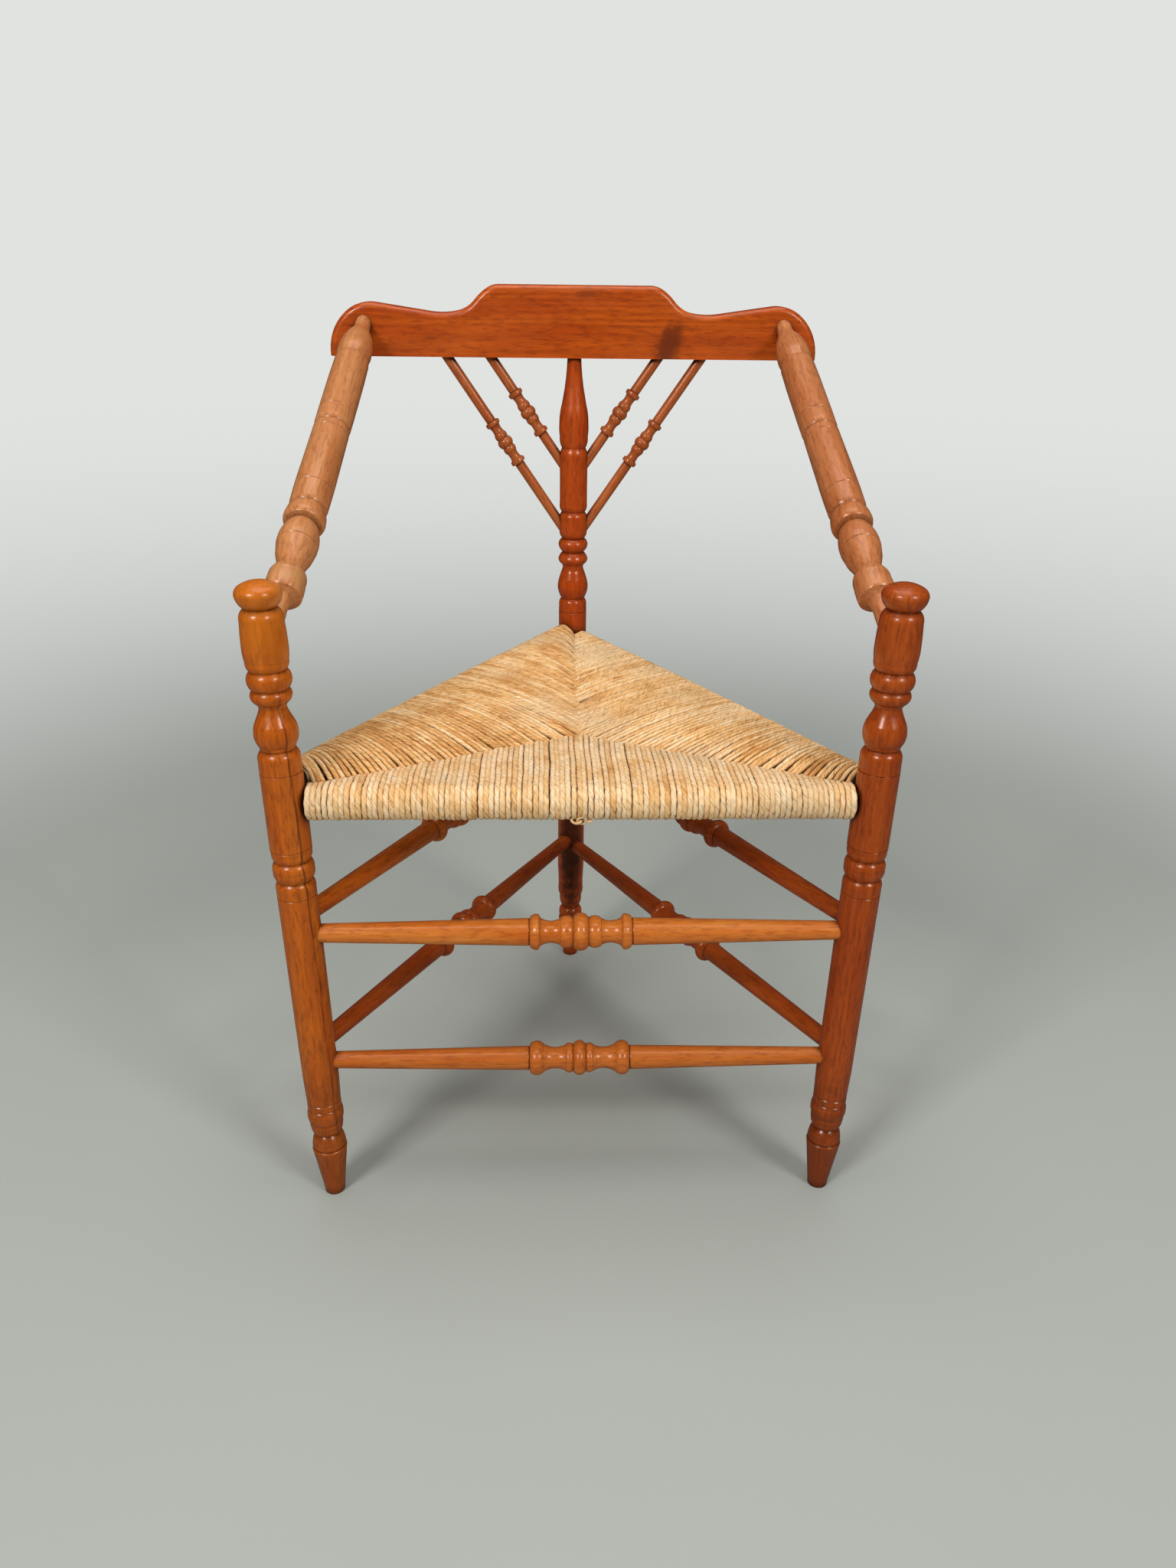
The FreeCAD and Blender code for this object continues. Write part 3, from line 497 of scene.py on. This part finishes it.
corners = {
    "left": frontAxis(-1, 0.425).xy,
    "right": frontAxis(1, 0.425).xy,
    "back": backAxis(0).xy,
}
seamPoint = Vector((0, chair["frontY"] + rush["seamBack"]))
panels = {
    "front": ("left", "right"),
    "right": ("right", "back"),
    "left": ("left", "back"),
}


def rollTop(place):
    return chair["railHeights"][place] + rush["rollRadius"]


def seamHeights(corner, share):
    # Upper and lower surface along the seam from a corner (share 0) to the meeting point (1)
    if corner == "back":
        top = rollTop("right") - rush["backDip"]
        under = chair["railHeights"]["left"] - rush["rollRadius"] + rush["underRise"]["back"]
    else:
        top = rollTop("front") - rush["cornerDip"]
        under = chair["railHeights"][corner] - rush["rollRadius"] + rush["underRise"]["front"]
    top += (rush["seamHeight"] - top) * share ** rush["seamCurve"]
    return top, under + (rush["seamUnder"] - under) * share


def panelFrame(place):
    first, second = (corners[word] for word in panels[place])
    along = (second - first).normalized()
    inward = Vector((-along.y, along.x))
    if inward.dot(seamPoint - first) < 0:
        inward.negate()
    return first, along, inward, (second - first).length, (seamPoint - first).dot(along)


def seamAt(place, run):
    # How far in and along a cord's end lies for a place on the rail, and the seam's heights there
    first, along, inward, length, foot = panelFrame(place)
    start, finish = panels[place]
    if run < foot:
        corner, share = start, run / foot
    else:
        corner, share = finish, (length - run) / (length - foot)
    spot = corners[corner].lerp(seamPoint, share)
    top, under = seamHeights(corner, share)
    reach = spot - (first + along * run)
    return reach.dot(inward), reach.dot(along), top, under


def smooth(value):
    value = min(1.0, max(0.0, value))
    return value * value * (3 - 2 * value)


def groupShifts(place, number):
    # Neighbouring cords lean together near the seams and leave dark gaps between the groups
    if place == "front":
        return [0.0] * (number + 1)
    chance = random.Random(f"groups {place} {rush['seed']}")
    shifts = []
    while len(shifts) <= number:
        size = chance.choice(rush["groupSizes"])
        pull = rush["pitch"] * chance.choice(rush["groupPulls"])
        shifts += [((size - 1) / 2 - member) * pull for member in range(size)]
    return shifts


def cordPath(place, run, chance, index, lean):
    # Middle line of one cord: along the top from its seam, round the rail, back underneath
    first, along, inward, length, _ = panelFrame(place)
    rail = chair["railHeights"][place]
    crown = 0 if place == "front" else rush["rollCrown"] * math.sin(math.pi * run / length)
    turn = rush["rollRadius"] - rush["half"] + crown
    depth, skew, top, under = seamAt(place, run)
    drop = (rail + turn) - (top - rush["half"])
    lift = (under + rush["half"]) - (rail - turn)
    sideways = chance.uniform(-rush["aside"], rush["aside"])
    bob = chance.uniform(-rush["bob"], rush["bob"])
    points = []

    def put(inAway, height, aside):
        spot = first + along * (run + aside + sideways) + inward * inAway
        wobble = noise.noise(Vector((index * 3.1, inAway * 55, height * 40))) * 0.0003
        points.append(Vector((*spot, height + bob + wobble)))

    def drift(share, side):
        field = noise.noise(Vector((run * 20, share * 2.2, side)))
        return field * rush["wander"] * math.sin(math.pi * min(share, 1.0))

    count = max(3, round(depth / rush["step"]))
    reach = depth + rush["overlap"][place]
    for on, down in rush["tailTop"]:
        put(reach + on, top - rush["half"] + down, skew)
    for step in range(count, 0, -1):
        share = step / count
        gather = lean * smooth((share * depth - depth + rush["gather"]) / rush["gather"])
        aside = skew * share + gather + drift(share, 1.7)
        put(reach * share, rail + turn - drop * share ** rush["fall"], aside)
    for step in range(17):
        angle = math.pi * step / 16
        put(-turn * math.sin(angle), rail + turn * math.cos(angle), 0)
    for step in range(1, count + 1):
        share = step / count
        put(reach * share, rail - turn + lift * share ** rush["fall"], skew * share + drift(share, 9.3))
    for on, up in rush["tailUnder"]:
        put(reach + on, under + rush["half"] + up, skew)
    return points


def tubeAround(points, half, chance, side, squash):
    # Rings of a twisted cord round a path; side is the direction across the cord
    sides = rush["sides"]
    middle = np.array(points)
    ahead = np.gradient(middle, axis=0)
    ahead /= np.linalg.norm(ahead, axis=1)[:, None]
    across = side - ahead * (ahead @ side)[:, None]
    across /= np.linalg.norm(across, axis=1)[:, None]
    outward = np.cross(ahead, across)
    steps = np.linalg.norm(np.diff(middle, axis=0), axis=1)
    run = np.concatenate(([0], np.cumsum(steps)))
    angle = np.arange(sides) / sides * 2 * np.pi
    phase = chance.uniform(0, 6.28)
    spin = run / rush["twist"] * 2 * np.pi
    lobes = 1 + rush["strands"] * np.cos(2 * (angle[None, :] - spin[:, None] + phase))
    swell = 1 + rush["swell"] * np.sin(run * 190 + phase * 3)[:, None]
    radius = half * lobes * swell
    radius[0] *= 0.5
    radius[-1] *= 0.5
    ring = (
        middle[:, None, :]
        + (radius * np.cos(angle)[None, :] * squash)[:, :, None] * across[:, None, :]
        + (radius * np.sin(angle)[None, :])[:, :, None] * outward[:, None, :]
    )
    return ring.reshape(-1, 3), run


# The cord's tied end under the front roll: two loops and a loose thread
knot = {
    "at": (-0.0035, -0.0095, -0.0128),  # from the middle of the front rail
    "half": 0.58,              # its cord's thickness, as a share of the others
    "tone": 0.1,
    "loops": (
        {"shift": -0.0016, "lean": 0.5, "across": 0.0042, "down": 0.0030},
        {"shift": 0.0030, "lean": -0.7, "across": 0.0036, "down": 0.0036},
    ),
}


def knotPaths():
    paths = []
    out, ahead, up = knot["at"]
    middle = Vector((out, chair["frontY"] + ahead, chair["railHeights"]["front"] + up))
    for loop, shape in enumerate(knot["loops"]):
        shift, lean, across, down = (shape[key] for key in ("shift", "lean", "across", "down"))
        path = []
        for step in range(25):
            angle = 2 * math.pi * step / 24 + loop
            sine = math.sin(angle)
            spot = Vector((shift + across * math.cos(angle), lean * 0.002 * sine, down * sine))
            path.append(middle + spot + Vector((0, 0, -0.0008 * loop)))
        paths.append(path)
    thread = [Vector((0.012 - 0.0009 * step, 0.0002 * step, -0.0022 + 0.0001 * step)) for step in range(14)]
    paths.append([middle + spot for spot in thread])
    return paths


def rushPanel(place):
    along, length = panelFrame(place)[1], panelFrame(place)[3]
    chance = random.Random(f"{place} {rush['seed']}")
    low = rush["legRoom"]["front"] + rush["pitch"] / 2
    high = length - rush["legRoom"]["front" if place == "front" else "back"] - rush["pitch"] / 2
    number = round((high - low) / rush["pitch"])
    leans = groupShifts(place, number)
    cords = []
    for index in range(number + 1):
        run = low + (high - low) * index / number
        if 0 < index < number:
            run += rush["pitch"] * chance.uniform(-rush["jitter"], rush["jitter"])
        half = rush["half"] * chance.uniform(*rush["thickness"])
        tone = chance.random()
        cords.append((cordPath(place, run, chance, index, leans[index]), half, tone, (*along, 0)))
    if place == "front":
        cords += [(path, rush["half"] * knot["half"], knot["tone"], (0, 1, 0)) for path in knotPaths()]
    sides = rush["sides"]
    verts, faces, uvs, tones, caps = [], [], [], [], []
    base = 0
    for points, half, tone, side in cords:
        rings, distance = tubeAround(points, half, chance, np.array(side), rush["squash"][place])
        count = len(distance)
        verts.append(rings)
        grid = base + np.arange(count * sides).reshape(count, sides)
        after = np.roll(grid, -1, axis=1)
        faces.append(np.stack((grid[:-1], after[:-1], after[1:], grid[1:]), axis=-1).reshape(-1, 4))
        u = np.broadcast_to(np.arange(sides) / sides, (count - 1, sides))
        v = np.broadcast_to(distance[:, None], (count, sides))
        corner = [(u, v[:-1]), (u + 1 / sides, v[:-1]), (u + 1 / sides, v[1:]), (u, v[1:])]
        uvs.append(np.stack([np.stack(pair, axis=-1) for pair in corner], axis=2).reshape(-1, 2))
        tones.append(np.full(count * sides, tone))
        caps.append(grid[0][::-1])
        caps.append(grid[-1])
        base += count * sides
    piece = meshPiece(f"rush_{place}_panel", verts, faces, uvs, tones, caps)
    warmth = piece.data.attributes.new("cordWarmth", "FLOAT", "POINT")
    warmth.data.foreach_set("value", np.full(base, rush["warmth"][place], np.float32))
    return piece


def meshPiece(name, verts, faces, uvs, tones, caps):
    verts = np.concatenate(verts)
    quads = np.concatenate(faces)
    ends = np.array(caps)
    mesh = bpy.data.meshes.new(name)
    loops = np.concatenate((quads.ravel(), ends.ravel()))
    capStarts = len(quads) * 4 + np.arange(len(ends)) * ends.shape[1]
    starts = np.concatenate((np.arange(len(quads)) * 4, capStarts))
    mesh.vertices.add(len(verts))
    mesh.vertices.foreach_set("co", verts.ravel().astype(np.float32))
    mesh.loops.add(len(loops))
    mesh.loops.foreach_set("vertex_index", loops.astype(np.int32))
    mesh.polygons.add(len(starts))
    mesh.polygons.foreach_set("loop_start", starts.astype(np.int32))
    mesh.update(calc_edges=True)
    mapping = mesh.uv_layers.new(name="cordRun")
    flat = np.concatenate((np.concatenate(uvs), np.zeros((ends.size, 2))))
    mapping.data.foreach_set("uv", flat.ravel().astype(np.float32))
    tone = mesh.attributes.new("cordTone", "FLOAT", "POINT")
    tone.data.foreach_set("value", np.concatenate(tones).astype(np.float32))
    mesh.polygons.foreach_set("use_smooth", np.ones(len(starts), bool))
    mesh.validate()
    piece = bpy.data.objects.new(name, mesh)
    scene.collection.objects.link(piece)
    return piece


# Straw colours, linear, from the painted shade of the darkest gaps to the palest leaves
rushColours = {
    "gapShade": (0.10, 0.038, 0.011),
    "tan": (0.56, 0.25, 0.062),
    "straw": (0.76, 0.42, 0.145),
    "pale": (0.85, 0.55, 0.26),
    "bleached": (0.91, 0.68, 0.41),
    "greyish": (0.66, 0.50, 0.30),
}


def rushFinish():
    material, tree = freshMaterial("rush_cord")
    place = addNode(tree, "ShaderNodeTexCoord").outputs["Object"]
    run = addNode(tree, "ShaderNodeUVMap", uv_map="cordRun").outputs["UV"]
    tone = addNode(tree, "ShaderNodeAttribute", attribute_name="cordTone").outputs["Fac"]
    parts = addNode(tree, "ShaderNodeSeparateXYZ", {"Vector": run}).outputs
    # Fibres wind round the cord once for each turn of its twist
    wound = mathOf(tree, "MULTIPLY_ADD", parts["Y"], 1 / rush["twist"], parts["X"])
    ringed = mathOf(tree, "MULTIPLY", wound, 2 * math.pi)
    onward = mathOf(tree, "MULTIPLY_ADD", parts["Y"], 24.0, mathOf(tree, "MULTIPLY", tone, 57.0))
    fibres = addNode(
        tree,
        "ShaderNodeCombineXYZ",
        {"X": mathOf(tree, "COSINE", ringed), "Y": mathOf(tree, "SINE", ringed), "Z": onward},
    ).outputs["Vector"]
    leaf = noiseOf(tree, fibres, 1.5, 3, 0.6)
    thread = noiseOf(tree, fibres, 5.0, 3, 0.65)
    # Long streaks follow each cord, and broad patches lie across neighbouring cords
    lengthwise = addNode(
        tree,
        "ShaderNodeCombineXYZ",
        {"X": mathOf(tree, "MULTIPLY", tone, 91.0), "Y": mathOf(tree, "MULTIPLY", parts["Y"], 20.0)},
    ).outputs["Vector"]
    streak = noiseOf(tree, lengthwise, 1.0, 3, 0.6)
    patch = noiseOf(tree, place, 30, 3, 0.55)
    blend = mathOf(tree, "MULTIPLY_ADD", leaf, 0.42, mathOf(tree, "MULTIPLY", patch, 0.30))
    blend = mathOf(tree, "MULTIPLY_ADD", streak, 0.34, blend)
    warmth = addNode(tree, "ShaderNodeAttribute", attribute_name="cordWarmth").outputs["Fac"]
    blend = mathOf(tree, "MULTIPLY_ADD", warmth, -0.07, blend)
    own = mathOf(tree, "FRACT", mathOf(tree, "MULTIPLY", tone, 7.0))
    blend = mathOf(tree, "MULTIPLY_ADD", own, 0.10, blend)
    colour = rampOf(
        tree,
        blend,
        (
            (0.44, rushColours["tan"]),
            (0.51, rushColours["straw"]),
            (0.59, rushColours["pale"]),
            (0.68, rushColours["bleached"]),
        ),
    )
    weathered = rampOf(tree, noiseOf(tree, place, 11, 2, 0.5), ((0.52, 0.0), (0.68, 0.5)))
    colour = mixColours(tree, weathered, colour, rushColours["greyish"])
    # Painted shade: short dark specks from the shading of the cords' twisted strands
    specks = rampOf(tree, thread, ((0.36, 0.95), (0.44, 0.0)))
    colour = mixColours(tree, specks, colour, rushColours["gapShade"])
    # Painted shade in the gaps between cords, masked by ambient occlusion: mostly tan and here and there dark
    nearness = addNode(tree, "ShaderNodeAmbientOcclusion", {"Distance": 0.003}, samples=6).outputs["AO"]
    hidden = rampOf(tree, nearness, ((0.30, 1.0), (0.84, 0.0)))
    dash = rampOf(tree, noiseOf(tree, place, 170, 2, 0.6), ((0.50, 0.05), (0.60, 1.0)))
    shadow = mixColours(tree, dash, rushColours["tan"], rushColours["gapShade"])
    colour = mixColours(tree, hidden, colour, shadow)
    relief = mathOf(tree, "ADD", thread, leaf)
    gloss = rampOf(tree, leaf, ((0.3, 0.5), (0.7, 0.72)))
    sheen = {"Specular IOR Level": 0.3, "Sheen Weight": 0.08, "Sheen Roughness": 0.5}
    finishShader(tree, colour, gloss, bumpOf(tree, 0.5, 0.0004, relief), sheen)
    return material


def paddingFinish():
    material, tree = freshMaterial("rush_padding_brown")
    place = addNode(tree, "ShaderNodeTexCoord").outputs["Object"]
    straw = noiseOf(tree, stretched(tree, place, (1, 0.2, 1)), 420, 3, 0.6)
    colour = rampOf(tree, straw, ((0.35, (0.10, 0.05, 0.018)), (0.7, (0.34, 0.20, 0.08))))
    rough = rampOf(tree, straw, ((0.3, 0.7), (0.7, 0.85)))
    finishShader(tree, colour, rough, bumpOf(tree, 0.6, 0.001, straw), {"Specular IOR Level": 0.2})
    return material


padding = {
    "share": 0.80,             # how far it reaches from the seams' meeting point to each corner
    "clear": 0.0048,           # below the middle of the cords
    "rings": 26,
    "across": 96,
    "lump": 0.0006,
}


def surfacesAt(spot):
    # Heights of the cords' middles above and below a point of the seat
    for place in panels:
        first, along, inward, length, _ = panelFrame(place)
        run = (spot - first).dot(along)
        depth, _, top, under = seamAt(place, min(max(run, 0.001), length - 0.001))
        share = (spot - first).dot(inward) / max(depth, 1e-6)
        if share <= 1.0001:
            rail = chair["railHeights"][place]
            turn = rush["rollRadius"] - rush["half"]
            fallen = max(share, 0.0) ** rush["fall"]
            high = rail + turn - (rail + turn - top + rush["half"]) * fallen
            low = rail - turn + (under + rush["half"] - rail + turn) * fallen
            return high, low
    return rush["seamHeight"] - rush["half"], rush["seamUnder"] + rush["half"]


def paddingPiece():
    # A lumpy pad of cut rush between the upper and lower cords
    loop = [corners[word] for word in ("left", "right", "back")]
    rim = []
    for step in range(padding["across"]):
        place = step / padding["across"] * 3
        side = int(place)
        rim.append(loop[side].lerp(loop[(side + 1) % 3], place - side))
    verts = []
    for layer in (0, 1):
        for ring in range(padding["rings"] + 1):
            share = ring / padding["rings"]
            for edge in rim:
                spot = seamPoint.lerp(edge, share * padding["share"])
                high, low = surfacesAt(spot)
                middle = (high + low) / 2
                thick = max((high - low) / 2 - padding["clear"], 0.0015) * math.sqrt(max(0.0, 1 - share ** 8))
                lump = noise.noise(Vector((*spot, layer)) * 90) * padding["lump"] * (1 - share)
                verts.append((*spot, middle + (thick + lump) * (1 if layer == 0 else -1)))
    per = padding["across"]
    layerSize = per * (padding["rings"] + 1)
    faces = []
    for layer in (0, 1):
        for ring in range(padding["rings"]):
            for step in range(per):
                a = layer * layerSize + ring * per + step
                b = layer * layerSize + ring * per + (step + 1) % per
                quad = (a, a + per, b + per, b)
                faces.append(quad if layer == 0 else quad[::-1])
    mesh = bpy.data.meshes.new("rush_padding")
    mesh.from_pydata(verts, [], faces)
    piece = bpy.data.objects.new("rush_padding", mesh)
    scene.collection.objects.link(piece)
    welded = bmesh.new()
    welded.from_mesh(mesh)
    bmesh.ops.remove_doubles(welded, verts=welded.verts, dist=1e-5)
    welded.to_mesh(mesh)
    welded.free()
    for face in mesh.polygons:
        face.use_smooth = True
    return piece


cordMaterial = rushFinish()
for place in panels:
    panel = rushPanel(place)
    panel.data.materials.append(cordMaterial)
    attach(panel, "root")
    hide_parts("rush_seat")
    print("rush panel woven:", place, len(panel.data.polygons), "faces")
pad = paddingPiece()
pad.data.materials.append(paddingFinish())
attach(pad, "root")
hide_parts("rush_stuffing")
print("padding laid")


# Floor, light and camera
stage = {
    "floorSize": 60.0,
    "floorColour": (0.395, 0.415, 0.375),
    "floorShine": 0.28,        # how bright the floor is in the varnish's reflections
    "backdropColour": (0.755, 0.768, 0.752),
    "fade": (0.95, 9.0),       # where the floor starts and ends melting into the backdrop
    "skyColour": (0.93, 0.95, 0.96),
    "skyStrength": 0.22,       # on matt surfaces
    "skyShine": 0.04,          # in reflections
    "aim": (0, 0, 0.45),       # what the lamps point at
    "lamps": (
        {"name": "left_window", "at": (-1.7, -2.3, 2.3), "size": 0.8, "watts": 56},
        {"name": "right_window", "at": (1.9, -2.3, 2.3), "size": 0.8, "watts": 44},
        {"name": "ceiling", "at": (0.0, -0.1, 3.0), "size": 2.2, "watts": 40},
    ),
}


def makeFloor():
    mesh = bpy.data.meshes.new("floor")
    reach = stage["floorSize"] / 2
    rim = [(-reach, -reach, 0), (reach, -reach, 0), (reach, reach, 0), (-reach, reach, 0)]
    mesh.from_pydata(rim, [], [(0, 1, 2, 3)])
    floor = bpy.data.objects.new("floor", mesh)
    scene.collection.objects.link(floor)
    material, tree = freshMaterial("floor_paint")
    place = addNode(tree, "ShaderNodeTexCoord").outputs["Object"]
    cloud = noiseOf(tree, place, 2.5, 3, 0.5)
    pale = tuple(channel * 1.05 for channel in stage["floorColour"])
    colour = mixColours(tree, cloud, stage["floorColour"], pale)
    rays = addNode(tree, "ShaderNodeLightPath").outputs
    mirrored = tuple(channel * stage["floorShine"] for channel in stage["floorColour"])
    colour = mixColours(tree, rays["Is Glossy Ray"], colour, mirrored)
    shader = addNode(tree, "ShaderNodeBsdfPrincipled", {"Base Color": colour, "Roughness": 0.7})
    # Far from the chair the camera sees the floor melt into the backdrop, without a horizon
    away = addNode(tree, "ShaderNodeVectorMath", {0: place}, operation="LENGTH").outputs["Value"]
    near, far = (1 / distance for distance in stage["fade"])
    melt = rangeOf(tree, mathOf(tree, "DIVIDE", 1.0, away), near, far, 1.0, "SMOOTHSTEP")
    backdrop = addNode(tree, "ShaderNodeEmission", {"Color": (*stage["backdropColour"], 1), "Strength": 1.0})
    blend = addNode(tree, "ShaderNodeMixShader", {0: mathOf(tree, "MULTIPLY", melt, rays["Is Camera Ray"])})
    tree.links.new(shader.outputs["BSDF"], blend.inputs[1])
    tree.links.new(backdrop.outputs["Emission"], blend.inputs[2])
    output = addNode(tree, "ShaderNodeOutputMaterial")
    tree.links.new(blend.outputs["Shader"], output.inputs["Surface"])
    floor.data.materials.append(material)


def makeWorld():
    world = bpy.data.worlds.new("studio")
    scene.world = world
    world.use_nodes = True
    tree = world.node_tree
    tree.nodes.clear()
    path = addNode(tree, "ShaderNodeLightPath").outputs
    dimmer = stage["skyStrength"] - stage["skyShine"]
    soft = mathOf(tree, "MULTIPLY_ADD", path["Is Glossy Ray"], -dimmer, stage["skyStrength"])
    strength = mathOf(tree, "MAXIMUM", path["Is Camera Ray"], soft)
    colour = mixColours(tree, path["Is Camera Ray"], stage["skyColour"], stage["backdropColour"])
    sky = addNode(tree, "ShaderNodeBackground", {"Color": colour, "Strength": strength})
    output = addNode(tree, "ShaderNodeOutputWorld")
    tree.links.new(sky.outputs["Background"], output.inputs["Surface"])


def makeLamps():
    aim = Vector(stage["aim"])
    for lamp in stage["lamps"]:
        data = bpy.data.lights.new(lamp["name"], "AREA")
        data.shape = "SQUARE"
        data.size = lamp["size"]
        data.energy = lamp["watts"]
        light = bpy.data.objects.new(lamp["name"], data)
        light.location = lamp["at"]
        light.rotation_euler = (aim - light.location).to_track_quat("-Z", "Y").to_euler()
        scene.collection.objects.link(light)


# Camera as found from the photograph: place, turn to the right, pitch down, roll, focal length in
# pixels of a 1536 x 2048 picture
eye = {
    "at": (-0.0300, -1.1518, 0.8604),
    "yaw": 2.131,
    "pitch": 24.147,
    "roll": 0.779,
    "focal": 1564.8,
    "tall": 2048,
}


def makeCamera():
    yaw, pitch, roll = (math.radians(eye[key]) for key in ("yaw", "pitch", "roll"))
    ahead = Vector((math.sin(yaw) * math.cos(pitch), math.cos(yaw) * math.cos(pitch), -math.sin(pitch)))
    right = Vector((math.cos(yaw), -math.sin(yaw), 0))
    up = right.cross(ahead)
    tiltedRight = right * math.cos(roll) + up * math.sin(roll)
    tiltedUp = up * math.cos(roll) - right * math.sin(roll)
    data = bpy.data.cameras.new("camera")
    data.sensor_width = 36
    data.lens = eye["focal"] / eye["tall"] * 36
    data.clip_start = 0.05
    data.clip_end = 60
    camera = bpy.data.objects.new("camera", data)
    turn = Matrix((tiltedRight, tiltedUp, -ahead)).transposed().to_4x4()
    camera.matrix_world = Matrix.Translation(eye["at"]) @ turn
    scene.collection.objects.link(camera)
    scene.camera = camera


makeFloor()
makeWorld()
makeLamps()
makeCamera()
scene.view_settings.view_transform = "Standard"
print("floor, lamps and camera placed")
